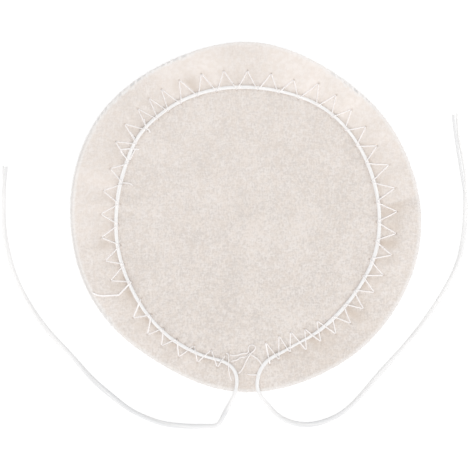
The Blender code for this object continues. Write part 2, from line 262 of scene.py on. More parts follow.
# thread that leaves the zigzag: x, y and how many threads it passes over
seamStart = ((0.0065, -0.0399), (0.0053, -0.0339))
seamFinish = ((-0.0055, -0.0373), (-0.0047, -0.0368))
longSeamEnd = (
    (-0.0344, -0.0211, 0), (-0.0375, -0.0213, 0), (-0.0406, -0.0210, 0), (-0.0416, -0.0205, 0),
)
shortSeamEnd = (
    (-0.00475, -0.0387, 0), (-0.00475, -0.0406, 0), (-0.0046, -0.0420, 0),
    (-0.0043, -0.0432, 0), (-0.0039, -0.0444, 0),
)
upperKnotted = (
    (-0.00434, -0.03735, 0), (-0.00325, -0.03755, 0), (-0.00168, -0.03720, 0), (-0.00046, -0.03690, 0),
    (0.00030, -0.03685, 0), (0.00068, -0.03655, 1), (0.00060, -0.03600, 1), (0.00070, -0.03515, 0),
    (0.00135, -0.03463, 0), (0.00220, -0.03480, 0), (0.00256, -0.03545, 0), (0.00210, -0.03620, 1),
    (0.00130, -0.03695, 2), (0.00075, -0.03770, 2), (0.00030, -0.03850, 0), (-0.00022, -0.03950, 0),
    (-0.00072, -0.04065, 0), (-0.00130, -0.04160, 0), (-0.00205, -0.04230, 0),
)
lowerKnotted = (
    (-0.00400, -0.03920, 0), (-0.00325, -0.03890, 0), (-0.00216, -0.03855, 0), (-0.00143, -0.03800, 0),
    (-0.00046, -0.03795, 0), (0.00030, -0.03760, 0), (0.00095, -0.03720, 0), (0.00171, -0.03745, 0),
    (0.00244, -0.03796, 0), (0.00329, -0.03857, 0), (0.00385, -0.03930, 0), (0.00425, -0.04000, 0),
)
# a few stitches were sewn twice at the upper left
doubled = (
    ((-0.0276, 0.0266), (-0.0274, 0.0254), (-0.0271, 0.0243)),
    ((-0.0316, 0.0232), (-0.0308, 0.0222), (-0.0301, 0.0212)),
    ((-0.0270, 0.0240), (-0.0262, 0.0234), (-0.0259, 0.0228)),
    ((-0.0289, 0.0183), (-0.0306, 0.0184), (-0.0326, 0.0184), (-0.0340, 0.0181)),
    ((-0.0341, 0.0180), (-0.0333, 0.0170), (-0.0323, 0.0158)),
    ((-0.0300, 0.0184), (-0.0306, 0.0172), (-0.0315, 0.0154)),
)
# two short cut ends of thread on the cloth
rightEnd = (
    (0.00035, -0.04250, 0), (0.00120, -0.04268, 0), (0.00210, -0.04272, 0), (0.00295, -0.04268, 0),
)
leftEnd = (
    (-0.0337, 0.0093, 0), (-0.0325, 0.0092, 0), (-0.0313, 0.0090, 0), (-0.0307, 0.0085, 0),
)


def ease(share):
    held = np.clip(share, 0.0, 1.0)
    return held * held * (3.0 - 2.0 * held)


def hump(away, width):
    # 1 at no distance, falling smoothly with it
    return np.exp(-((away / width) ** 2))


def humps(bearing, rows):
    # sum of smooth humps round the turn
    total = 0
    for place, halfWidth, share in rows:
        total = total + share * hump((bearing - place + 180) % 360 - 180, halfWidth)
    return total


def between(bearing, start, end, soft):
    # 1 between two bearings, with soft ends
    return ease((bearing - start) / soft) * ease((end - bearing) / soft)


def polar(bearing, radius):
    return (radius * math.cos(math.radians(bearing)), radius * math.sin(math.radians(bearing)))


def bearingOf(x, y):
    return np.degrees(np.arctan2(y, x)) % 360


def runLengths(path):
    # how far along the path each of its points is
    return np.concatenate([[0.0], np.cumsum(np.linalg.norm(np.diff(path, axis=0), axis=1))])


def smoothCurve(points, spacing):
    # natural cubic spline through the points, sampled at about the spacing
    knots = np.asarray(points, float)
    at = runLengths(knots[:, :2])
    gaps = np.diff(at)
    count = len(at)
    system = np.eye(count)
    target = np.zeros_like(knots)
    slopes = np.diff(knots, axis=0) / gaps[:, None]
    for i in range(1, count - 1):
        system[i, i - 1 : i + 2] = (gaps[i - 1], 2 * (gaps[i - 1] + gaps[i]), gaps[i])
        target[i] = 6 * (slopes[i] - slopes[i - 1])
    bend = np.linalg.solve(system, target)
    where = np.linspace(0.0, at[-1], max(2, round(at[-1] / spacing) + 1))
    left = np.clip(np.searchsorted(at, where, side="right") - 1, 0, count - 2)
    width = gaps[left][:, None]
    before = (where - at[left])[:, None]
    after = width - before
    return (
        (bend[left] * after**3 + bend[left + 1] * before**3) / (6 * width)
        + (knots[left] / width - bend[left] * width / 6) * after
        + (knots[left + 1] / width - bend[left + 1] * width / 6) * before
    )


def outlineRadius(angle):
    radius = cloth["diameter"] / 2
    for lobes, height, peak in cloth["cutLobes"]:
        radius = radius + height * np.cos(lobes * (angle - math.radians(peak)))
    return radius


def ringLineRadius(bearing):
    bearings, offsets = zip(*ringRoute)
    bearings = [turn % 360 for turn in bearings]
    return loopRadius + np.interp(bearing % 360, bearings, offsets, period=360)


def needleHoles(seam):
    # outer and inner holes in turn
    stitches, bearings, innerShares, outerShares = (np.array(row) for row in zip(*seam))
    every = np.arange(stitches[0], stitches[-1] + 1)
    outerBearings = np.interp(every, stitches, bearings)
    inside = np.interp(every, stitches, innerShares) * thread["zigzagWidth"]
    outside = np.interp(every, stitches, outerShares) * thread["zigzagWidth"]
    holes = []
    for i, bearing in enumerate(outerBearings):
        holes.append(polar(bearing, ringLineRadius(bearing) + outside[i]))
        if i + 1 < len(outerBearings):
            middle = (bearing + outerBearings[i + 1]) / 2
            holes.append(polar(middle, ringLineRadius(middle) - cordReach - inside[i]))
    return holes


longHoles = list(seamStart) + needleHoles(longSeam)[:-1]
shortHoles = needleHoles(shortSeam)[1:] + list(seamFinish)
holeRadii = [math.hypot(*hole) for hole in longHoles + shortHoles]
ridgeInner = min(holeRadii) - thread["diameter"]
ridgeOuter = max(holeRadii) + thread["diameter"]
flatRadius = ridgeInner - cloth["slopeRun"]

ringPoints = [polar(bearing, loopRadius + offset) for bearing, offset in ringRoute]
cordPlan = smoothCurve(list(leftTailRoute) + ringPoints + list(rightTailRoute), cord["step"])


def creaseAway(bearing, outward):
    # signed degrees from the crease
    start, end = crease["bearings"]
    return (bearing - (start + (end - start) * outward) + 180) % 360 - 180


def clothUnderside(x, y):
    # flat in the middle, raised over the lower thread, rippled and folded outside the stitching
    radius, angle, bearing = np.hypot(x, y), np.arctan2(y, x), bearingOf(x, y)
    wave = 0
    for waves, share, peak in cloth["edgeWaves"]:
        wave = wave + share * (1 + np.cos(waves * (angle - math.radians(peak)))) / 2
    margin = np.maximum(outlineRadius(angle) - ridgeOuter, gap["seat"])
    slope = (radius - thread["slopeStart"]) / (ridgeInner - thread["slopeStart"])
    outward = ease((radius - ridgeOuter) / margin)
    folds = humps(bearing, rimFolds) + cloth["foldLevel"]
    folds = cloth["foldHeight"] * folds * ease((radius - loopRadius) / cloth["foldRun"])
    creased = crease["depth"] * hump(creaseAway(bearing, outward), crease["width"]) * outward
    level = stitchLift * ease(slope) * (1 - outward) + cloth["edgeWaveHeight"] * wave * outward
    return np.maximum(level + folds - creased, 0.0)


def nearest(points, samples):
    # distance from each point to the samples, and which sample it is
    tree = KDTree(len(samples))
    for i, (x, y) in enumerate(samples):
        tree.insert((x, y, 0.0), i)
    tree.balance()
    found = [tree.find((x, y, 0.0)) for x, y in points]
    return np.array([item[2] for item in found]), np.array([item[1] for item in found])


# relief of the cloth's upper face: depths or heights, then widths
relief = {
    "cordGroove": (0.00006, 0.00070),
    "besideCord": (0.00006, 0.00130, 0.00080),  # height, distance from the cord, width
    "legGroove": (0.00002, 0.00028),
    "needleDimple": (0.00030, 0.00024),
    "puff": (0.00010, 0.00090),
    "puffBand": (0.001, 0.002),  # how softly the puffed band starts and ends
    "pucker": (0.00014, 0.0032),
    "puckerInside": 0.0009,  # from the ring to the inner holes
    "edgeClear": 0.003,  # puckers die out this near the edge
    "edgeRoll": (0.00016, 0.00080),
    # height, size, seed and waves of the uneven surface
    "broad": (0.00007, 0.011, 3, 9),
    "nap": (0.000028, 0.0011, 5, 24),
}


def legSamples(holes, spacing=0.0002):
    rows = []
    for start, end in zip(holes[:-1], holes[1:]):
        steps = max(2, round(math.dist(start, end) / spacing))
        for share in np.linspace(0, 1, steps, endpoint=False):
            rows.append([a + (b - a) * share for a, b in zip(start, end)])
    return np.array(rows)


def rippleNoise(x, y, size, seed, turns):
    # smooth seeded unevenness, about -1 to 1
    rng = np.random.default_rng(seed)
    total = 0
    for angle, phase, stretch in rng.uniform((0, 0, 0.7), (math.pi, 2 * math.pi, 1.5), (turns, 3)):
        along = x * math.cos(angle) + y * math.sin(angle)
        total = total + np.sin(along * 2 * math.pi * stretch / size + phase)
    return total / math.sqrt(turns)


allHoles = np.array(longHoles + shortHoles)
allLegs = np.vstack([legSamples(longHoles), legSamples(shortHoles)])
outerHoles = allHoles[np.hypot(*allHoles.T) > loopRadius]
holeBearings = np.sort(bearingOf(*outerHoles.T))


def stitchPhase(x, y):
    # 1 at the bearing of an outer hole, -1 halfway to the next
    ring = np.concatenate([[holeBearings[-1] - 360], holeBearings, [holeBearings[0] + 360]])
    return np.cos(2 * math.pi * np.interp(bearingOf(x, y), ring, np.arange(len(ring))))


def clothRelief(x, y):
    # height over a plain upper face, and how far each point is from what shapes it
    points = np.column_stack([x, y])
    cordAway, legAway, holeAway = (nearest(points, row)[0] for row in (cordPlan, allLegs, allHoles))
    angle = np.arctan2(y, x)
    outside = np.hypot(x, y) - ringLineRadius(np.degrees(angle))
    edgeAway = outlineRadius(angle) - np.hypot(x, y)

    height = 0
    for name, away in (("cordGroove", cordAway), ("legGroove", legAway), ("needleDimple", holeAway)):
        depth, width = relief[name]
        height = height - depth * hump(away, width)
    rise, at, width = relief["besideCord"]
    height = height + rise * hump(cordAway - at, width)
    start, end = relief["puffBand"]
    band = ease((outside + start) / start) * ease((thread["zigzagWidth"] - outside) / end)
    rise, width = relief["puff"]
    height = height + rise * band * (1 - hump(legAway, width))
    rise, width = relief["pucker"]
    start = np.where(outside > 0, thread["zigzagWidth"], -relief["puckerInside"])
    clear = ease(edgeAway / relief["edgeClear"])
    height = height - rise * stitchPhase(x, y) * hump(outside - start, width) * clear
    depth, run = relief["edgeRoll"]
    height = height - depth * (1 - np.clip(edgeAway / run, 0, 1)) ** 2
    for rise, *waves in (relief["broad"], relief["nap"]):
        height = height + rise * rippleNoise(x, y, *waves)
    away = {"cord": cordAway, "leg": legAway, "hole": holeAway, "ring": outside, "edge": edgeAway}
    return height, away


def clothTop(x, y):
    x, y = np.atleast_1d(np.asarray(x, float)), np.atleast_1d(np.asarray(y, float))
    return clothUnderside(x, y) + cloth["thickness"] + clothRelief(x, y)[0]


def noiseLayer(nodes, links, coords, scale, stretch=(1, 1, 1), detail=2.0, roughness=0.5):
    mapping = nodes.new("ShaderNodeMapping")
    mapping.inputs["Scale"].default_value = stretch
    links.new(coords, mapping.inputs["Vector"])
    noise = nodes.new("ShaderNodeTexNoise")
    noise.inputs["Scale"].default_value = scale
    noise.inputs["Detail"].default_value = detail
    noise.inputs["Roughness"].default_value = roughness
    links.new(mapping.outputs["Vector"], noise.inputs["Vector"])
    return noise.outputs["Fac"]


def weightedSum(nodes, links, layers):
    total = 0.0
    for socket, weight in layers:
        total = mathStep(nodes, links, "MULTIPLY_ADD", socket, weight, total)
    return total


def spread(nodes, links, socket, low, high):
    ranged = nodes.new("ShaderNodeMapRange")
    ranged.inputs["From Min"].default_value = low
    ranged.inputs["From Max"].default_value = high
    links.new(socket, ranged.inputs["Value"])
    return ranged.outputs["Result"]


def mixColours(nodes, links, share, first, second):
    mix = nodes.new("ShaderNodeMix")
    mix.data_type = "RGBA"
    links.new(share, mix.inputs["Factor"])
    for letter, value in (("A", first), ("B", second)):
        socket = [s for s in mix.inputs if s.identifier == letter + "_Color"][0]
        if isinstance(value, tuple):
            socket.default_value = (*value, 1.0)
        else:
            links.new(value, socket)
    return [s for s in mix.outputs if s.type == "RGBA"][0]


def attribute(nodes, name):
    reader = nodes.new("ShaderNodeAttribute")
    reader.attribute_name = name
    return reader.outputs["Fac"]


def finishShader(nodes, links, colour, look, height=None):
    # colour, finish and bump on the shader
    shader = nodes["Principled BSDF"]
    links.new(colour, shader.inputs["Base Color"])
    shader.inputs["Roughness"].default_value = look["roughness"]
    shader.inputs["Specular IOR Level"].default_value = look["specular"]
    shader.inputs["Sheen Weight"].default_value = look["sheen"]
    if height is not None:
        bump = nodes.new("ShaderNodeBump")
        bump.inputs["Strength"].default_value, bump.inputs["Distance"].default_value = look["bump"]
        links.new(height, bump.inputs["Height"])
        links.new(bump.outputs["Normal"], shader.inputs["Normal"])


def addPiece(name, corners, faces, material):
    mesh = bpy.data.meshes.new(name)
    mesh.from_pydata(corners, [], faces)
    mesh.update()
    mesh.shade_smooth()
    mesh.materials.append(material)
    piece = bpy.data.objects.new(name, mesh)
    bpy.context.scene.collection.objects.link(piece)
    print(name + ":", sum(len(face) - 2 for face in faces), "triangles")
    return piece


def addValues(piece, name, values):
    layer = piece.data.attributes.new(name, "FLOAT", "POINT")
    layer.data.foreach_set("value", values.astype(np.float32))


# brushed cotton: mottled by its yarns, nap and hairs
brushedCotton = {
    "dark": (0.656, 0.602, 0.563),
    "light": (0.818, 0.766, 0.731),
    # painted light on the crests of folds and to the back
    "paintedLight": (0.908, 0.843, 0.800),
    "warm": (0.775, 0.680, 0.600),
    # painted shade beside the cord, in fold hollows and at needle holes
    "paintedShade": (0.632, 0.535, 0.455),
    # painted shade along the cut edge
    "cutShade": (0.580, 0.585, 0.595),
    "fluff": (0.905, 0.898, 0.892),
    # noise: scale, stretch, detail, roughness, shares of the mottle and of the bump
    "noise": {
        "warp": (2350, (1.0, 0.34, 1.0), 2.0, 0.5, 0.23, 0.30),
        "weft": (2350, (0.34, 1.0, 1.0), 2.0, 0.5, 0.18, 0.30),
        "nap": (2000, (1, 1, 1), 3.0, 0.6, 0.33, 0.40),
        "hairs": (7000, (1.0, 0.5, 1.0), 3.0, 0.6, 0.08, 0.35),
        "tufts": (620, (1, 1, 1), 2.0, 0.5, 0.12, 0),
        "cloud": (95, (1, 1, 1), 3.0, 0.5, 0.14, 0),
        "streaks": (260, (1.0, 0.22, 1.0), 2.0, 0.5, 0.05, 0),
        "warmth": (700, (1, 1, 1), 3.0, 0.5, 0, 0),
    },
    "mottle": (0.497, 0.627),
    "warmth": (0.40, 0.60),
    "warmShare": 0.30,
    "fluffed": (0.38, 0.62),
    "fluffShare": (0.9, 0.55),
    "roughness": 0.95, "specular": 0.2, "sheen": 0.15, "bump": (0.6, 0.00016),
}


def makeBrushedCotton(look):
    material, nodes, links = newMaterial("brushedCotton")
    coords = nodes.new("ShaderNodeTexCoord").outputs["Object"]
    rows = look["noise"]
    noise = {name: noiseLayer(nodes, links, coords, *row[:4]) for name, row in rows.items()}
    mottle, bumps = (
        weightedSum(nodes, links, [(noise[name], row[i]) for name, row in rows.items() if row[i]])
        for i in (4, 5)
    )
    colour = mixColours(
        nodes, links, spread(nodes, links, mottle, *look["mottle"]), look["dark"], look["light"]
    )
    # painted light on the crests of folds and to the back
    colour = mixColours(nodes, links, attribute(nodes, "paintedLight"), colour, look["paintedLight"])
    warm = spread(nodes, links, noise["warmth"], *look["warmth"])
    warm = mathStep(nodes, links, "MULTIPLY", warm, look["warmShare"])
    colour = mixColours(nodes, links, warm, colour, look["warm"])
    # painted shade beside the cord, in fold hollows, at needle holes and along the cut edge
    for name in ("paintedShade", "cutShade"):
        colour = mixColours(nodes, links, attribute(nodes, name), colour, look[name])
    tufted = spread(nodes, links, noise["hairs"], *look["fluffed"])
    tufted = mathStep(nodes, links, "MULTIPLY_ADD", tufted, *look["fluffShare"])
    patchy = mathStep(nodes, links, "MULTIPLY", attribute(nodes, "fluff"), tufted)
    colour = mixColours(nodes, links, patchy, colour, look["fluff"])
    finishShader(nodes, links, colour, look, bumps)
    return material


cottonMaterial = makeBrushedCotton(brushedCotton)

# the cloth's mesh, and how it was cut
clothMesh = {
    "segments": 1280,
    "bandStep": 0.00040,
    "edgeStep": 0.00014,
    "edgeRun": 0.0013,
    "middleStep": 0.00050,
    "undersideStep": 0.00160,
    "poleRadius": 0.0016,
    "widestFace": 0.00052,
    "poleShare": 16,  # of the segments, one in so many at the pole
    # steps of the cut: pitch, depth, how they sway, and their share where it follows a yarn
    "toothPitch": 0.0015,
    "tooth": 0.00004,
    "toothSway": (1.3, 5),
    "toothLeast": 0.35,
    # depth and slant of the fray, then its size, seed and waves
    "fray": (0.00003, 0.3, 0.0009, 11, 7),
    "trim": 0.00018,
    # the wall: how far it bulges, how unevenly, and where
    "bulge": 0.00004,
    "bulgeUneven": (0.00005, 0.0005, 17, 9),
    "bulgeLevel": 0.35,
    "undersideUneven": (0.00002, 0.0016, 8, 20),
}


def cutRadius(angle):
    # the cut crosses the yarns in small steps, deepest where it runs across both sets of them
    along = angle * cloth["diameter"] / 2
    sway, turns = clothMesh["toothSway"]
    least = clothMesh["toothLeast"]
    steps = np.sin(2 * math.pi * along / clothMesh["toothPitch"] + sway * np.sin(turns * angle))
    steps = clothMesh["tooth"] * steps * (least + (1 - least) * np.abs(np.sin(2 * angle)))
    depth, slant, *waves = clothMesh["fray"]
    frayed = depth * rippleNoise(along, slant * along, *waves)
    return outlineRadius(angle) + steps + frayed - clothMesh["trim"]


def middleRings():
    # radii of the rings of the flat middle from the pole out, with how many corners each has
    rows = []
    radius, segments = clothMesh["poleRadius"], clothMesh["segments"] // clothMesh["poleShare"]
    while radius < flatRadius - clothMesh["middleStep"]:
        rows.append((radius, segments))
        radius += clothMesh["middleStep"]
        while (
            segments < clothMesh["segments"] // 2
            and 2 * math.pi * radius / segments > clothMesh["widestFace"]
        ):
            segments *= 2
    return rows


def ringPlaces(radius, segments):
    angle = np.arange(segments) * 2 * math.pi / segments
    return radius * np.cos(angle), radius * np.sin(angle)


def layRings():
    # corner places of the rings and the side each is on: out over the upper face, down the wall
    # of the cut, and back under the cloth with half as many corners
    full = clothMesh["segments"]
    angle = np.arange(full) * 2 * math.pi / full
    edge = cutRadius(angle)
    inner = edge - clothMesh["edgeRun"]
    margin = cloth["diameter"] / 2 - flatRadius
    bandCount = round(margin / clothMesh["bandStep"])
    edgeCount = round(clothMesh["edgeRun"] / clothMesh["edgeStep"])
    lowerCount = round(margin / clothMesh["undersideStep"])
    middle = middleRings()
    rows = [(radius, segments, "upper") for radius, segments in middle]
    for i in range(bandCount):
        rows.append((flatRadius + (inner - flatRadius) * i / bandCount, full, "upper"))
    for i in range(edgeCount + 1):
        rows.append((inner + (edge - inner) * i / edgeCount, full, "upper"))
    swing, *waves = clothMesh["bulgeUneven"]
    bulge = clothMesh["bulge"] + swing * rippleNoise(edge * angle, edge * angle, *waves)
    rows += [(edge + bulge, full, "wall"), (edge, full, "lower")]
    half = edge[::2]
    for i in range(1, lowerCount + 1):
        rows.append((half + (flatRadius - half) * i / lowerCount, full // 2, "lower"))
    rows += [(radius, segments, "lower") for radius, segments in middle[::-3]]
    return [(*ringPlaces(radius, segments), side) for radius, segments, side in rows]


def joinRings(starts, counts):
    # faces from ring to ring, where the corners double or thin out too, and a fan at each pole
    faces = []
    for a, b, countA, countB in zip(starts, starts[1:], counts, counts[1:]):
        for j in range(min(countA, countB)):
            k = (j + 1) % min(countA, countB)
            if countA == countB:
                faces.append((a + j, b + j, b + k, a + k))
            elif countA < countB:
                mid, last = b + 2 * j + 1, b + (2 * j + 2) % countB
                faces += [(a + j, mid - 1, mid), (a + j, mid, a + k), (a + k, mid, last)]
            else:
                ratio = countA // countB
                half = ratio // 2
                fan = [a + (ratio * j + n) % countA for n in range(ratio + 1)]
                for n in range(ratio):
                    faces.append((fan[n], b + (j if n < half else k), fan[n + 1]))
                faces.append((fan[half], b + j, b + k))
    first, last = counts[0], counts[-1]
    pole = starts[-1] + last
    faces += [(pole, j, (j + 1) % first) for j in range(first)]
    faces += [(pole + 1, starts[-1] + (j + 1) % last, starts[-1] + j) for j in range(last)]
    return faces


# the cut edge: painted shade as grey dashes in the stretches between these bearings, and as a thin
# grey line at the left, and pale bands at the left
cutEdge = {
    "zones": ((104, 156), (38, 64), (206, 224)),
    "zoneSoft": 8,
    "depth": (0.00045, 0.00080),
    "pitch": (0.0015, 0.0026),
    "strength": (0.40, 0.85),
    "most": 260,
    "seed": 6,
    "body": (0.16, 0.80, 0.14),  # how each dash starts, where it ends and how, as shares
    "soft": 0.00030,
    "past": 0.00012,  # how far past its depth a dash has faded out
    "atEdge": 0.35,  # share of it that is left right at the edge
    # the yarn end after each dash: its place and width as shares, how deep it starts to fade
    "parting": (0.90, 0.10),
    "partingDepth": (0.0013, 0.0006),
    "inside": (0.0004, 0.00025),  # the pale spot inside a dash: how far in, and its width
    "left": (142, 220, 10),  # bearings of the left stretch, and how softly it starts
    # share, distance from the edge, width
    "thinLine": (0.55, 0.00036, 0.00020),
    "paleBand": (0.50, 0.00092, 0.00032),
    "fringe": (0.9, 0.00024, 0.00022),
    "softBand": (0.0012, 0.0009),
    "softShare": (0.45, 0.25),
}


def dashShare(x, y, edgeAway):
    # painted shade in grey dashes along the cut, parted by pale yarn ends that run with Y
    rng = np.random.default_rng(cutEdge["seed"])
    reach = cloth["diameter"] / 2
    run = np.arccos(np.clip(x / reach, -1, 1))
    run = reach * np.where(y > 0, run, 2 * math.pi - run)
    most = cutEdge["most"]
    bounds = np.cumsum(rng.uniform(*cutEdge["pitch"], most))
    which = np.searchsorted(bounds, run)
    strength = rng.uniform(*cutEdge["strength"], most + 1)[which]
    depth = rng.uniform(*cutEdge["depth"], most + 1)[which]
    blotch = rng.uniform(0.0, 1.0, most + 1)[which]
    start = np.concatenate([[0.0], bounds])[which]
    length = np.concatenate([bounds, [bounds[-1] + 1]])[which] - start
    share = (run - start) / length
    rise, end, fall = cutEdge["body"]
    body = ease(share / rise) * ease((end - share) / fall)
    soft = cutEdge["soft"]
    least = cutEdge["atEdge"]
    dash = strength * body * ease((depth + cutEdge["past"] - edgeAway) / soft)
    dash = dash * (least + (1 - least) * ease(edgeAway / soft))
    at, width = cutEdge["parting"]
    deepest, fade = cutEdge["partingDepth"]
    parting = hump(share - at, width) * ease((deepest - edgeAway) / fade)
    at, width = cutEdge["inside"]
    return dash, np.maximum(parting, blotch * body * hump(edgeAway - depth - at, width))


def cutTones(x, y, bearing, edgeAway):
    # how much painted shade, in grey, and how fluffy the cloth is along its cut
    soft = cutEdge["zoneSoft"]
    zone = np.maximum.reduce([between(bearing, a, b, soft) for a, b in cutEdge["zones"]])
    left = between(bearing, *cutEdge["left"])
    dash, pale = dashShare(x, y, edgeAway)
    thinLine, paleBand = (
        share * left * hump(edgeAway - at, width)
        for share, at, width in (cutEdge["thinLine"], cutEdge["paleBand"])
    )
    cutShade = np.maximum(zone * dash, thinLine)
    share, end, fade = cutEdge["fringe"]
    fringe = share * left * ease((end - edgeAway) / fade)
    end, fade = cutEdge["softBand"]
    share, more = cutEdge["softShare"]
    softBand = ease((end - edgeAway) / fade) * (share + more * zone)
    return cutShade, np.maximum.reduce([softBand, zone * pale, paleBand, fringe]) * (1 - cutShade)


# painted shade and light on the cloth: painted shade beside the cord, in its gathers, in the
# hollows of its folds and at the needle holes, and painted light on the crests of its folds
paintedShadeAndLight = {
    "besideCord": 0.0015,
    "legClear": (0.00015, 0.0005),  # how near a stitch it stays clear, and how softly
    # inside the ring: least, and how much more between which bearings
    "inside": (0.12, 0.25),
    "insideStretch": (272, 312, 10),
    # outside it: mean, swing, bearing of the least, and how much less it is at the exits
    "outside": (0.28, 0.26, 95),
    "exits": (0.75, 268, 22),
    # how uneven: mean, swing, stretch, then size, seed and waves
    "uneven": (0.85, 0.55, 0.35),
    "unevenWaves": (0.0042, 14, 9),
    "unevenLimits": (0.1, 1.6),
    "gatherShade": 0.15,
    "gatherEnd": (0.0070, 0.0040),
    "gatherStart": 0.0012,
    "hole": (0.66, 0.00030),
    "folds": (0.15, 0.15, 85),  # mean, swing, bearing of the palest
    # how steep a fold starts early, where it starts, where the others do, and the run
    "foldStart": (0.25, 0.0004, -0.0002, 0.0020),
    "creaseWidth": 0.7,
    "creaseFade": (0.7, 0.40, 0.55),
    "everywhere": 0.095,
    "slant": (0.15, 0.45, 0.045),  # painted light, paler to the back: how much, its lean, and over what reach
}


def paintedShadeShare(bearing, away):
    # painted shade beside the cord, in the gathers and at the needle holes
    clearOf, run = paintedShadeAndLight["legClear"]
    clear = ease((away["leg"] - clearOf) / run)
    least, more = paintedShadeAndLight["inside"]
    inside = least + more * between(bearing, *paintedShadeAndLight["insideStretch"])
    mean, swing, at = paintedShadeAndLight["outside"]
    outside = mean - swing * np.cos(np.radians(bearing - at))
    share, at, width = paintedShadeAndLight["exits"]
    outside = outside * (1 - share * hump(bearing - at, width))
    mean, swing, stretch = paintedShadeAndLight["uneven"]
    along = np.radians(bearing) * loopRadius
    uneven = mean + swing * rippleNoise(along, away["ring"] * stretch, *paintedShadeAndLight["unevenWaves"])
    end, fade = paintedShadeAndLight["gatherEnd"]
    gatherShade = paintedShadeAndLight["gatherShade"] + humps(bearing, gatherShades)
    gatherShade = gatherShade * ease((end - away["ring"]) / fade) * ease(away["ring"] / paintedShadeAndLight["gatherStart"])
    beside = hump(away["cord"], paintedShadeAndLight["besideCord"]) * np.where(away["ring"] > 0, outside, inside)
    share, width = paintedShadeAndLight["hole"]
    tuckShade = clear * np.clip(uneven, *paintedShadeAndLight["unevenLimits"]) * (beside + gatherShade)
    return np.maximum(tuckShade, share * hump(away["hole"], width))


def foldLightAndShade(bearing, away):
    # painted light above zero on the crests, painted shade below it in the hollows
    margin = outlineRadius(np.radians(bearing)) - ringLineRadius(bearing)
    across = away["ring"] / margin
    fromCrease = creaseAway(bearing, np.clip(across, 0, 1))
    side = np.tanh(fromCrease / paintedShadeAndLight["creaseWidth"])
    # painted light above the crease and painted shade below it
    creased = np.where(side > 0, crease["above"], crease["below"]) * np.abs(side)
    share, start, run = paintedShadeAndLight["creaseFade"]
    creased = creased * np.exp(-np.abs(fromCrease) / crease["reach"])
    creased = creased * (1 - share * ease((across - start) / run))
    mean, swing, at = paintedShadeAndLight["folds"]
    foldLightShade = mean + swing * np.cos(np.radians(bearing - at)) + humps(bearing, rimFolds) + creased
    steep, early, late, run = paintedShadeAndLight["foldStart"]
    return foldLightShade * ease((away["ring"] + np.where(foldLightShade > steep, early, late)) / run)


def buildCloth():
    rings = layRings()
    counts = [len(x) for x, _, _ in rings]
    starts = [0, *np.cumsum(counts[:-1]).tolist()]
    x, y = (np.concatenate([ring[i] for ring in rings]) for i in (0, 1))
    side = np.repeat([ring[2] for ring in rings], counts)
    raised, away = clothRelief(x, y)
    swing, *waves = clothMesh["undersideUneven"]
    height = clothUnderside(x, y) + np.select(
        [side == "upper", side == "wall"],
        [cloth["thickness"] + raised, np.full(len(x), cloth["thickness"] * clothMesh["bulgeLevel"])],
        swing * np.abs(rippleNoise(x, y, *waves)),
    )
    poles = [[0.0, 0.0, cloth["thickness"]], [0.0, 0.0, 0.0]]
    corners = np.column_stack([x, y, height]).tolist() + poles
    sheet = addPiece("clothSheet", corners, joinRings(starts, counts), cottonMaterial)
    bearing = bearingOf(x, y)
    foldLightShade = foldLightAndShade(bearing, away)
    # painted shade along the cut edge, and its fluffy paleness
    cutShade, fluff = cutTones(x, y, bearing, away["edge"] - clothMesh["trim"])
    # painted light on fold crests and growing to the back
    rise, lean, reach = paintedShadeAndLight["slant"]
    paintedLight = np.clip(foldLightShade, 0, 1) + paintedShadeAndLight["everywhere"] + rise * (y - lean * x) / reach
    # painted shade beside the cord, in the gathers, in fold hollows and at the needle holes
    paintedShade = np.clip(paintedShadeShare(bearing, away), 0, 1) + np.clip(-foldLightShade, 0, 1)
    for name, values in (("paintedShade", paintedShade), ("cutShade", cutShade), ("paintedLight", paintedLight), ("fluff", fluff)):
        addValues(sheet, name, np.append(np.clip(values, 0, 1), [0.0, 0.0]))
    return sheet


clothSheet = buildCloth()
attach(clothSheet, "root")
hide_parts("filter_cloth")


# twisted cord and thread
def unitRows(vectors):
    return vectors / np.linalg.norm(vectors, axis=1)[:, None]


def sweepTube(path, radii, lobes, groove, lay, sides, spin=0.0, pressed=1.0, flattened=1.0):
    # corners, faces and corner UVs of a closed tube of twisted strands along the path
    count = len(path)
    radii, groove, pressed = (np.broadcast_to(value, count) for value in (radii, groove, pressed))
    along = runLengths(path)
    tangents = unitRows(np.gradient(path, axis=0))
    normal = np.cross(tangents[0], (0.0, 0.0, 1.0))
    normals = []
    for tangent in tangents:
        normal = normal - tangent * normal.dot(tangent)
        normal = normal / np.linalg.norm(normal)
        normals.append(normal)
    sideways = np.cross(tangents, normals)
    turn = np.arange(sides) * 2 * math.pi / sides
    profile = 1 - groove[:, None] * (1 - np.abs(np.cos(turn * lobes / 2)))[None, :]
    angle = turn[None, :] + spin + (2 * math.pi * along / lay)[:, None]
    reach = radii[:, None] * profile
    rise = pressed[:, None] * np.sign(np.sin(angle)) * np.abs(np.sin(angle)) ** flattened
    corners = (
        path[:, None, :]
        + (reach * np.cos(angle))[..., None] * np.array(normals)[:, None, :]
        + (reach * rise)[..., None] * sideways[:, None, :]
    ).reshape(-1, 3)
    faces, marks = [], []
    for i in range(count - 1):
        a, b = i * sides, (i + 1) * sides
        for j in range(sides):
            k = (j + 1) % sides
            faces.append((a + j, a + k, b + k, b + j))
            u, v = j / sides, (j + 1) / sides
            marks += [(u, along[i]), (v, along[i]), (v, along[i + 1]), (u, along[i + 1])]
    start, end = list(range(sides)), list(range((count - 1) * sides, count * sides))
    faces += [tuple(start[::-1]), tuple(end)]
    marks += [(0.5, along[0])] * sides + [(0.5, along[-1])] * sides
    return corners, faces, marks


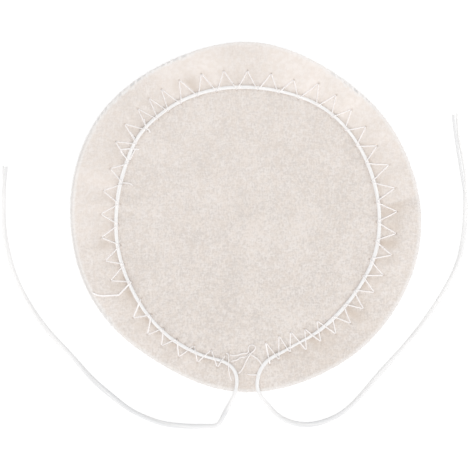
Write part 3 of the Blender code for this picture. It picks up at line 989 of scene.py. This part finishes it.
def addYarn(name, shells, material, greyShare):
    # one piece from its tubes, with its length in millimetres in its UVs
    corners, faces, marks, offset = [], [], [], 0
    for points, polygons, uvs in shells:
        corners.append(points)
        faces += [tuple(corner + offset for corner in face) for face in polygons]
        marks += uvs
        offset += len(points)
    piece = addPiece(name, np.vstack(corners).tolist(), faces, material)
    layer = piece.data.uv_layers.new(name="lengthwise")
    scaled = np.array(marks, np.float32) * np.array((1.0, 1000.0), np.float32)
    layer.data.foreach_set("uv", scaled.ravel())
    addValues(piece, "greyer", np.broadcast_to(greyShare, offset))
    return piece


twistedCotton = {
    "colour": (0.972, 0.961, 0.953), "shade": (0.888, 0.877, 0.870), "spread": (0.36, 0.60),
    # the darker colour down between the strands is painted shade
    "valleyShade": (0.86, 0.853, 0.849), "greyer": (0.765, 0.768, 0.778), "strands": 2,
    # streaks round the yarn, their slant, and streaks in a millimetre
    "streaks": (26.0, 2.2, 0.5),
    "roughness": 0.85, "specular": 0.25, "sheen": 0.1, "bump": (0.45, 0.00012),
}
sewingCotton = {
    "colour": (1.0, 0.97, 0.96), "shade": (0.97, 0.93, 0.915), "spread": (0.30, 0.56),
    # the darker colour down between the strands is painted shade
    "valleyShade": (0.93, 0.89, 0.87), "greyer": (0.90, 0.86, 0.84), "strands": 3,
    "streaks": (12.0, 0.0, 3.0),
    "roughness": 0.7, "specular": 0.25, "sheen": 0.1, "bump": (0.12, 0.00004),
}
yarnGrain = {"fuzz": 5200, "shares": (0.7, 0.3), "crest": (0.0, 0.45)}


def makeYarnMaterial(name, look):
    material, nodes, links = newMaterial(name)
    coords = nodes.new("ShaderNodeTexCoord").outputs
    across = nodes.new("ShaderNodeSeparateXYZ")
    links.new(coords["UV"], across.inputs[0])
    around, along = across.outputs["X"], across.outputs["Y"]
    # fibres run slantwise round the yarn
    turns, slant, lengthwise = look["streaks"]
    slanted = nodes.new("ShaderNodeCombineXYZ")
    links.new(weightedSum(nodes, links, ((around, turns), (along, slant))), slanted.inputs["X"])
    links.new(mathStep(nodes, links, "MULTIPLY", along, lengthwise), slanted.inputs["Y"])
    fibres = noiseLayer(nodes, links, slanted.outputs[0], 1.0, detail=3.0, roughness=0.6)
    fuzz = noiseLayer(nodes, links, coords["Object"], yarnGrain["fuzz"])
    mottle = weightedSum(nodes, links, zip((fibres, fuzz), yarnGrain["shares"]))
    shade = spread(nodes, links, mottle, *look["spread"])
    colour = mixColours(nodes, links, shade, look["shade"], look["colour"])
    # greyer where the attribute says; on the cord this is painted shade
    colour = mixColours(nodes, links, attribute(nodes, "greyer"), colour, look["greyer"])
    # painted shade, a little darker down between the strands
    wave = mathStep(nodes, links, "MULTIPLY", around, math.pi * look["strands"])
    height = mathStep(nodes, links, "ABSOLUTE", mathStep(nodes, links, "COSINE", wave))
    crest = spread(nodes, links, height, *yarnGrain["crest"])
    colour = mixColours(nodes, links, crest, look["valleyShade"], colour)
    finishShader(nodes, links, colour, look, mottle)
    return material


cordMaterial = makeYarnMaterial("twistedCotton", twistedCotton)
threadMaterial = makeYarnMaterial("sewingCotton", sewingCotton)


# the drawstring, whose paired values are those of the ring and of the free ends
drawstring = {
    "lobes": 2,
    "groove": (0.07, 0.22),
    "lay": 0.046,
    "sides": 20,
    "pressed": (0.72, 0.92),
    "sunkInNap": 0.00005,  # the ring, in the cloth
    "offSurface": 0.00003,  # the free ends, over the table
    "leftLength": 0.124,
    "rightLength": 0.128,
    "slackRun": 0.006,
    # painted shade that greys the free ends
    "slackShade": 0.13,
    # how far off its route the cord lies: in the ring, and along the two free ends
    "outward": {"ring": -0.00017, "left": 0.00008, "right": 0.00020},
    "girth": (0.96, 0.03),  # the ring's share of its plump radius, and how much less at the back
    # where it is drawn thinner or left fuller: bearing, half width in degrees, share of the radius
    "drawnThin": (
        (45, 20, 0.16), (70, 10, 0.11), (93, 12, 0.05), (130, 7, 0.12), (172, 14, -0.04),
        (207, 9, 0.12), (231, 11, 0.14), (256, 11, 0.18), (293, 10, 0.30), (329, 9, 0.07),
        (353, 9, -0.05),
    ),
    # painted shade, greyer stretches where the twist turns a shaded side up: place along it, half
    # length, share
    "greyShare": (
        (0.045, 0.008, 0.10), (0.074, 0.018, 0.90), (0.096, 0.009, 0.50), (0.1065, 0.0018, 0.55),
        (0.1165, 0.006, 0.35), (0.129, 0.009, 0.35), (0.150, 0.016, 0.30), (0.3105, 0.024, 0.30),
        (0.340, 0.007, 0.25), (0.351, 0.008, 0.15), (0.3705, 0.011, 0.85), (0.395, 0.014, 0.25),
        (0.432, 0.012, 0.20),
    ),
    # the core tapers where the strands part: distance before that, run, how thin and how low
    "taper": (0.0035, 0.0065, 0.78, 0.47),
}
# the tips have untwisted into two strands: how far back, how far apart, their radii, how grey
leftTip = {"back": 0.0046, "apart": 0.00088, "radii": (0.00033, 0.00036), "greyShare": (0.25, 0.55)}
rightTip = {"back": 0.0210, "apart": 0.00100, "radii": (0.00038, 0.00032), "greyShare": (0.62, 0.08)}
strand = {
    "offset": 0.00018,  # from the middle of the cord, where the strands part
    "opening": (0.0020, 0.0055),
    "pinched": (0.30, 0.0065, 0.0028),  # share, distance from the tip, width
    "lobes": 2, "groove": 0.10, "lay": 0.5, "sides": 14, "pressed": 0.9,
    "overlap": 12,  # samples that it shares with the core
}


def slackness(x, y):
    # 0 on the cloth, 1 along the free ends
    beyond = np.hypot(x, y) - outlineRadius(np.arctan2(y, x))
    return ease(beyond / drawstring["slackRun"])


def ringGirth(x, y):
    # radius of the couched cord
    share, front = drawstring["girth"]
    thinner = humps(bearingOf(x, y), drawstring["drawnThin"])
    return plumpCord * (share - front * np.sin(np.arctan2(y, x)) - thinner)


def cordHeight(x, y):
    # centreline height: on the cloth, or down on the surface beside it
    angle = np.arctan2(y, x)
    edge = outlineRadius(angle)
    held = np.minimum(np.hypot(x, y), edge)
    ringPressed, slackPressed = drawstring["pressed"]
    onCloth = clothUnderside(held * np.cos(angle), held * np.sin(angle)) + cloth["thickness"]
    onCloth = onCloth - drawstring["sunkInNap"] + ringGirth(x, y) * ringPressed
    onFloor = slackCord * slackPressed + drawstring["offSurface"]
    return onCloth + (onFloor - onCloth) * ease((np.hypot(x, y) - edge) / cord["dropRun"])


def layCord():
    x, y = cordPlan.T
    slack = slackness(x, y)
    outward = drawstring["outward"]
    far = np.where(x > 0, outward["right"], outward["left"])
    moved = (outward["ring"] * (1 - slack) + far * slack) / np.hypot(x, y)
    return np.column_stack([cordPlan * (1 + moved)[:, None], cordHeight(x, y)]), slack


cordLine, cordSlack = layCord()


def splayedTip(path, tip):
    # the last stretch of the path as two untwisted strands, how grey they are, where each ends
    along = runLengths(path)
    closed, run = strand["opening"]
    share, back, width = strand["pinched"]
    opened = ease((along - closed) / run) * (1 - share * hump(along[-1] - along - back, width))
    apart = strand["offset"] + (tip["apart"] / 2 - strand["offset"]) * opened
    tangents = unitRows(np.gradient(path, axis=0))
    sideways = np.cross(tangents, (0.0, 0.0, 1.0))
    shells, greyShare, ends = [], [], []
    for side, radius, grey in zip((-1.0, 1.0), tip["radii"], tip["greyShare"]):
        line = path + sideways * (side * apart)[:, None]
        line[:, 2] = radius * strand["pressed"] + drawstring["offSurface"]
        shell = sweepTube(
            line, radius, strand["lobes"], strand["groove"], strand["lay"], strand["sides"],
            math.pi / 2, strand["pressed"],
        )
        shells.append(shell)
        greyShare.append(np.full(len(shell[0]), grey))
        ends.append((line[-1], tangents[-1], radius))
    return shells, greyShare, ends


def buildCord():
    first, last = (int(np.hypot(*(cordPlan - ringPoints[i]).T).argmin()) for i in (0, -1))
    along = runLengths(cordLine)
    spins = 2 * math.pi * along / drawstring["lay"]
    girth = ringGirth(*cordLine[:, :2].T)
    radii, groove, pressed = (
        near + (far - near) * cordSlack
        for near, far in ((girth, slackCord), drawstring["groove"], drawstring["pressed"])
    )
    # painted shade: greyer stretches where the twist turns a shaded side up, and greyer free ends
    greyShare = sum(share * hump(along - place, run) for place, run, share in drawstring["greyShare"])
    greyShare = greyShare + drawstring["slackShade"] * cordSlack
    parts = (leftTip["back"], along[-1] - rightTip["back"])
    before, fade, thinner, lower = drawstring["taper"]
    ending = ease((np.maximum(parts[0] - along, along - parts[1]) + before) / fade)
    taper = 1 - thinner * ending
    core = cordLine * np.column_stack([np.ones((len(along), 2)), 1 - lower * ending])
    leftPart, rightPart = (int(np.searchsorted(along, place)) for place in parts)
    overlap, sides = strand["overlap"], drawstring["sides"]
    leftRun, rightRun = cordLine[leftPart + overlap :: -1], cordLine[rightPart - overlap :]
    made, strandEnds = [], []
    for name, start, end, path, tip in (
        ("drawstringTailLeft", leftPart - overlap, first + 1, leftRun, leftTip),
        ("drawstringLoop", first, last + 1, None, None),
        ("drawstringTailRight", last, rightPart + overlap, rightRun, rightTip),
    ):
        run = slice(start, end)
        shells = [
            sweepTube(
                core[run], (radii * taper)[run], drawstring["lobes"], groove[run],
                drawstring["lay"], sides, spins[start], pressed[run],
            )
        ]
        shares = [np.repeat(greyShare[run], sides)]
        if tip:
            strands, strandShares, ends = splayedTip(path, tip)
            shells += strands
            shares += strandShares
            strandEnds += ends
        piece = addYarn(name, shells, cordMaterial, np.clip(np.concatenate(shares), 0, 1))
        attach(piece, "root")
        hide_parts("drawstring")
        made.append(piece)
    return made, first, last, strandEnds, radii * (along > parts[0]) * (along < parts[1])


(tailLeft, _, tailRight), ringFirst, ringLast, strandEnds, cordGirth = buildCord()


# sewing thread
sewing = {
    "lobes": 3,
    "groove": 0.08,
    "lay": 0.0013,
    "sides": 12,
    "step": 0.00016,
    "pressed": 0.50,
    "flattened": 0.55,
    "looseShare": 0.86,
    # over the cord: how far out it climbs, how wide and how high its arch is
    "climb": 0.00075,
    "arch": (0.6, 0.04),
    "levelRise": 0.00024,  # for each thread that it passes over
    # tautness from crest to crest, and height in the nap as a share of the radius
    "sewn": (0.25, 0.25),
    "laid": (0.3, 0.65),
    "pressedIn": (0.3, 0.15),
    "bow": 0.00007,
    "seed": 21,
    # at a needle hole: how deep it dives, from how far off
    "dive": (0.00055, 0.00050),
    "bobbinDive": (0.0004, 0.0005),
    "bobbinStep": 0.00026,
    "bobbinLevel": 0.5,
}
# the second run of the stitches sewn twice
resewn = {"look": (0.3, 0.45), "sunk": 0.0003, "thick": 0.85}
# the coil of the knot, with its height and pitch in radii of the thread
knot = {
    "centre": (0.00098, -0.03712), "heading": 232, "radius": 0.00024, "turns": 1.8,
    "samples": 34, "level": 1.8, "pitch": 2.6, "pressed": 0.55,
}


def upperHull(along, height):
    # the taut string over a profile
    kept = []
    for i in range(len(along)):
        while len(kept) > 1:
            a, b = kept[-2], kept[-1]
            rise = (along[b] - along[a]) * (height[i] - height[a])
            if rise - (height[b] - height[a]) * (along[i] - along[a]) < 0:
                break
            kept.pop()
        kept.append(i)
    return np.interp(along, along[kept], height[kept])


def drawOverCord(plan, along, height):
    # where a thread crosses the cord it is drawn tight over it, from the cloth and back to it
    away, which = nearest(plan, cordPlan)
    wider, higher = sewing["arch"]
    reach = ringGirth(*plan.T) + threadRadius * wider
    over = np.sqrt(np.clip(reach**2 - away**2, 0, None)) * (drawstring["pressed"][0] + higher)
    height = np.where(away < reach, np.maximum(height, cordLine[which, 2] + over), height)
    near = np.flatnonzero(away < reach + sewing["climb"])
    for run in np.split(near, np.flatnonzero(np.diff(near) > 1) + 1):
        if len(run) > 2 and (away[run] < reach[run]).any():
            height[run] = upperHull(along[run], height[run])
    return height


def layThread(plan, levels=0.0, look=sewing["laid"]):
    # heights for a thread that lies on the cloth, over the cord and over other threads
    tautness, bedding = look
    along = runLengths(plan)
    base = clothTop(*plan.T) + threadRadius * bedding + levels * sewing["levelRise"]
    height = base + (upperHull(along, base) - base) * tautness
    return np.column_stack([plan, drawOverCord(plan, along, height)])


def dived(share, run, dive):
    # how far the thread has dived into the cloth near both ends of a stitch
    depth, reach = dive
    return sum(depth * np.clip(1 - away / reach, 0, 1) ** 2 for away in (share * run, (1 - share) * run))


def joinLegs(legs):
    return np.vstack([legs[0]] + [leg[1:] for leg in legs[1:]])


def stitchLegs(holes):
    # the upper thread through its holes, diving into the cloth at each
    rng = np.random.default_rng(sewing["seed"])
    legs = []
    for start, end in zip(np.array(holes[:-1]), np.array(holes[1:])):
        run = np.linalg.norm(end - start)
        share = np.linspace(0.0, 1.0, max(6, round(run / sewing["step"])))
        side = np.array([start[1] - end[1], end[0] - start[0]]) / run
        bow = rng.uniform(-sewing["bow"], sewing["bow"]) * np.sin(math.pi * share)
        leg = layThread(start + (end - start) * share[:, None] + side * bow[:, None], look=sewing["sewn"])
        leg[:, 2] -= dived(share, run, sewing["dive"])
        legs.append(leg)
    return joinLegs(legs)


def bobbinLegs(holes):
    # the lower thread, rising into the cloth at each hole
    legs = []
    for start, end in zip(np.array(holes[:-1]), np.array(holes[1:])):
        run = np.linalg.norm(end - start)
        share = np.linspace(0.0, 1.0, max(5, round(run / sewing["bobbinStep"])))
        plan = start + (end - start) * share[:, None]
        height = clothUnderside(*plan.T) - threadRadius * sewing["bobbinLevel"]
        legs.append(np.column_stack([plan, height + dived(share, run, sewing["bobbinDive"])]))
    return joinLegs(legs)


def looseThread(route, look=sewing["laid"]):
    line = smoothCurve(route, sewing["step"])
    return layThread(line[:, :2], np.clip(line[:, 2], 0, None), look)


def knotCoil():
    # a coil of thread drawn tight round the crossing, its axis along the heading
    height = float(clothTop(*knot["centre"])[0]) + threadRadius * knot["level"]
    heading = math.radians(knot["heading"])
    axis = np.array((math.cos(heading), math.sin(heading), 0.0))
    across = np.array((-axis[1], axis[0], 0.0))
    turn = np.linspace(0.0, 2 * math.pi * knot["turns"], knot["samples"])
    advance = (turn / turn[-1] - 0.5) * threadRadius * knot["pitch"] * knot["turns"]
    line = np.array((*knot["centre"], height)) + advance[:, None] * axis
    line = line + knot["radius"] * np.cos(turn)[:, None] * across
    line[:, 2] += knot["radius"] * knot["pressed"] * np.sin(turn)
    return line


def threadShell(line, thick=1.0):
    return sweepTube(
        line, plumpRadius * thick, sewing["lobes"], sewing["groove"], sewing["lay"],
        sewing["sides"], pressed=sewing["pressed"], flattened=sewing["flattened"],
    )


def seamWithEnd(holes, end):
    # a run of stitches that goes on as a loose end
    seam, loose = stitchLegs(holes), looseThread(end)
    apart = float(np.linalg.norm(loose[0, :2] - seam[-1, :2]))
    steps = max(4, round(apart / sewing["step"]))
    bridge = layThread(np.linspace(seam[-1, :2], loose[0, :2], steps))
    return np.vstack([seam[:-1], bridge, loose[1:]])


def resewnShell(route):
    line = layThread(smoothCurve(route, sewing["step"]), look=resewn["look"])
    line[[0, -1], 2] -= resewn["sunk"]
    return threadShell(line, resewn["thick"])


threadLines = {
    "needleThreadLong": ("needle_thread_long_run", seamWithEnd(longHoles, longSeamEnd)),
    "needleThreadShort": ("needle_thread_short_run", seamWithEnd(shortHoles, shortSeamEnd)),
    "bobbinThread": ("bobbin_thread", bobbinLegs(longHoles + shortHoles)),
    "knottedThreadUpper": ("knotted_thread_upper", looseThread(upperKnotted)),
    "knottedThreadLower": ("knotted_thread_lower", looseThread(lowerKnotted)),
    "threadEndRight": ("thread_end_right", looseThread(rightEnd)),
    "threadEndLeft": ("thread_end_left", looseThread(leftEnd, sewing["pressedIn"])),
}
for pieceName, (nodeName, line) in threadLines.items():
    loose = pieceName.startswith(("knotted", "threadEnd"))
    thick = sewing["looseShare"] if loose else 1.0
    shells = [threadShell(line, thick)]
    if pieceName == "knottedThreadUpper":
        shells.append(threadShell(knotCoil(), thick))
    if pieceName == "needleThreadLong":
        shells += [resewnShell(route) for route in doubled]
    piece = addYarn(pieceName, shells, threadMaterial, 1.0 if loose else 0.0)
    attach(piece, "root")
    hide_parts(nodeName)


# raised nap, and loose fibres along the cut edge and the cord
raisedNap = {
    "count": 12000, "length": (0.00025, 0.0009), "radius": 0.000011, "droop": 0.00003,
    "slope": (0.1, 1.0), "rise": 0.30, "inside": 0.0004, "sunk": 0.00003, "seed": 12,
}
edgeFuzz = {
    "count": 4200, "length": (0.0002, 0.0010), "radius": 0.000011, "droop": 0.0001,
    "inside": (0.0, 0.00035), "level": (0.0001, 0.0006), "fan": 0.9, "rise": (0.05, 0.3), "seed": 4,
}
cordFuzz = {
    "count": 4200, "length": (0.00015, 0.0006), "radius": 0.000008, "droop": 0.00005,
    # half turns round the cord from its side, how deep the roots are, how far the fibres stand out
    "turns": (-0.2, 1.2), "root": 0.93, "upward": 0.8, "outward": (0.15, 0.7),
    "tuft": 22, "tuftLength": (0.0003, 0.0011), "tuftSpread": 0.45, "tuftBack": 0.0001,
    "tuftShape": (1, 1, 0.7), "tuftFan": (1, 1, 0.3),
    "lowest": 0.00005, "seed": 15,
}
# one hair: places along it with their thickness, how it curls, and how low it may hang
hair = {"rings": ((0.0, 1.0), (0.5, 0.85), (1.0, 0.2)), "curl": 0.5, "lowest": 0.2, "seed": 9}
looseCotton = {
    "dark": (0.80, 0.75, 0.70), "light": (0.95, 0.92, 0.89), "grain": 1500, "spread": (0.38, 0.62),
    "roughness": 0.8, "specular": 0.2, "sheen": 0.0,
}
looseWhite = {**looseCotton, "dark": (0.92, 0.915, 0.91), "light": (0.98, 0.975, 0.97)}


def makeLooseCotton(name, look):
    material, nodes, links = newMaterial(name)
    coords = nodes.new("ShaderNodeTexCoord").outputs["Object"]
    shade = spread(nodes, links, noiseLayer(nodes, links, coords, look["grain"]), *look["spread"])
    finishShader(nodes, links, mixColours(nodes, links, shade, look["dark"], look["light"]), look)
    return material


looseMaterial = makeLooseCotton("looseCotton", looseCotton)
whiteMaterial = makeLooseCotton("looseWhiteCotton", looseWhite)


def fibreMesh(name, roots, directions, lengths, look, material=looseMaterial):
    # thin three-sided curled hairs, all in one mesh, nine corners to each
    rng = np.random.default_rng(hair["seed"])
    count = len(roots)
    sideways = unitRows(np.cross(directions, rng.normal(size=(count, 3))))
    second = np.cross(directions, sideways)
    curl = rng.normal(0, hair["curl"], (count, 2)) * lengths[:, None]
    rows = []
    for share, thick in hair["rings"]:
        centre = roots + directions * (lengths * share)[:, None]
        for axis, bend in ((sideways, curl[:, 0]), (second, curl[:, 1])):
            centre = centre + axis * (bend * share**2)[:, None]
        lowest = roots[:, 2] * hair["lowest"] + look["radius"] * 2
        centre[:, 2] = np.maximum(centre[:, 2] - look["droop"] * share**2, lowest)
        for turn in (0, 2 * math.pi / 3, 4 * math.pi / 3):
            arm = sideways * math.cos(turn) + second * math.sin(turn)
            rows.append(centre + arm * look["radius"] * thick)
    corners = np.stack(rows, axis=1).reshape(-1, 3)
    pattern = [(0, 2, 1), (6, 7, 8)]  # the two ends of a hair, then its sides
    for i in (0, 3):
        for j, k in ((0, 1), (1, 2), (2, 0)):
            pattern.append((i + j, i + k, i + 3 + k, i + 3 + j))
    faces = [tuple(corner + 9 * n for corner in face) for n in range(count) for face in pattern]
    piece = addPiece(name, corners.tolist(), faces, material)
    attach(piece, "root")
    return piece


def headings(angle, slope):
    return unitRows(np.column_stack([np.cos(angle), np.sin(angle), slope]))


def buildNap():
    rng = np.random.default_rng(raisedNap["seed"])
    count = raisedNap["count"]
    angle = rng.uniform(0, 2 * math.pi, count)
    radius = (outlineRadius(angle) - raisedNap["inside"]) * np.sqrt(rng.uniform(0, 1, count))
    x, y = radius * np.cos(angle), radius * np.sin(angle)
    roots = np.column_stack([x, y, clothTop(x, y) - raisedNap["sunk"]])
    heading = rng.uniform(0, 2 * math.pi, count)
    directions = headings(heading, rng.uniform(*raisedNap["slope"], count) * raisedNap["rise"])
    lengths = rng.uniform(*raisedNap["length"], count)
    return fibreMesh("raisedNap", roots, directions, lengths, raisedNap)


def buildEdgeFibres():
    rng = np.random.default_rng(edgeFuzz["seed"])
    count = edgeFuzz["count"]
    angle = rng.uniform(0, 2 * math.pi, count)
    radius = cutRadius(angle) - rng.uniform(*edgeFuzz["inside"], count)
    x, y = radius * np.cos(angle), radius * np.sin(angle)
    roots = np.column_stack([x, y, clothUnderside(x, y) + rng.uniform(*edgeFuzz["level"], count)])
    heading = angle + rng.normal(0, edgeFuzz["fan"], count)
    directions = headings(heading, rng.normal(*edgeFuzz["rise"], count))
    lengths = rng.uniform(*edgeFuzz["length"], count)
    return fibreMesh("edgeFibres", roots, directions, lengths, edgeFuzz)


def buildCordFibres():
    rng = np.random.default_rng(cordFuzz["seed"])
    count, tuft, loosely = cordFuzz["count"], cordFuzz["tuft"], cordFuzz["tuftSpread"]
    which = rng.choice(np.flatnonzero(cordGirth > 0), count)
    tangents = unitRows(np.gradient(cordLine, axis=0)[which])
    sideways = np.cross(tangents, (0.0, 0.0, 1.0))
    upward = np.cross(sideways, tangents)
    turn = rng.uniform(*(math.pi * share for share in cordFuzz["turns"]), count)
    outward = sideways * np.cos(turn)[:, None] + upward * (cordFuzz["upward"] * np.sin(turn))[:, None]
    roots = cordLine[which] + outward * (cordGirth[which] * cordFuzz["root"])[:, None]
    directions = outward * rng.uniform(*cordFuzz["outward"], count)[:, None]
    directions = directions + tangents * rng.normal(0, 1, count)[:, None]
    lengths = rng.uniform(*cordFuzz["length"], count)
    # the strands' ends fray
    for point, tangent, radius in strandEnds:
        spots = rng.normal(0, loosely * radius, (tuft, 3)) * cordFuzz["tuftShape"]
        spots = spots + point - tangent * cordFuzz["tuftBack"]
        spots[:, 2] = np.maximum(spots[:, 2], cordFuzz["lowest"])
        roots = np.vstack([roots, spots])
        fanned = tangent + rng.normal(0, loosely, (tuft, 3)) * cordFuzz["tuftFan"]
        directions = np.vstack([directions, fanned])
        lengths = np.append(lengths, rng.uniform(*cordFuzz["tuftLength"], tuft))
    return fibreMesh(
        "cordFibres", roots, unitRows(directions), lengths, cordFuzz, whiteMaterial
    )


napFibres = buildNap()
edgeFibres = buildEdgeFibres()
buildCordFibres()

print("finishing")
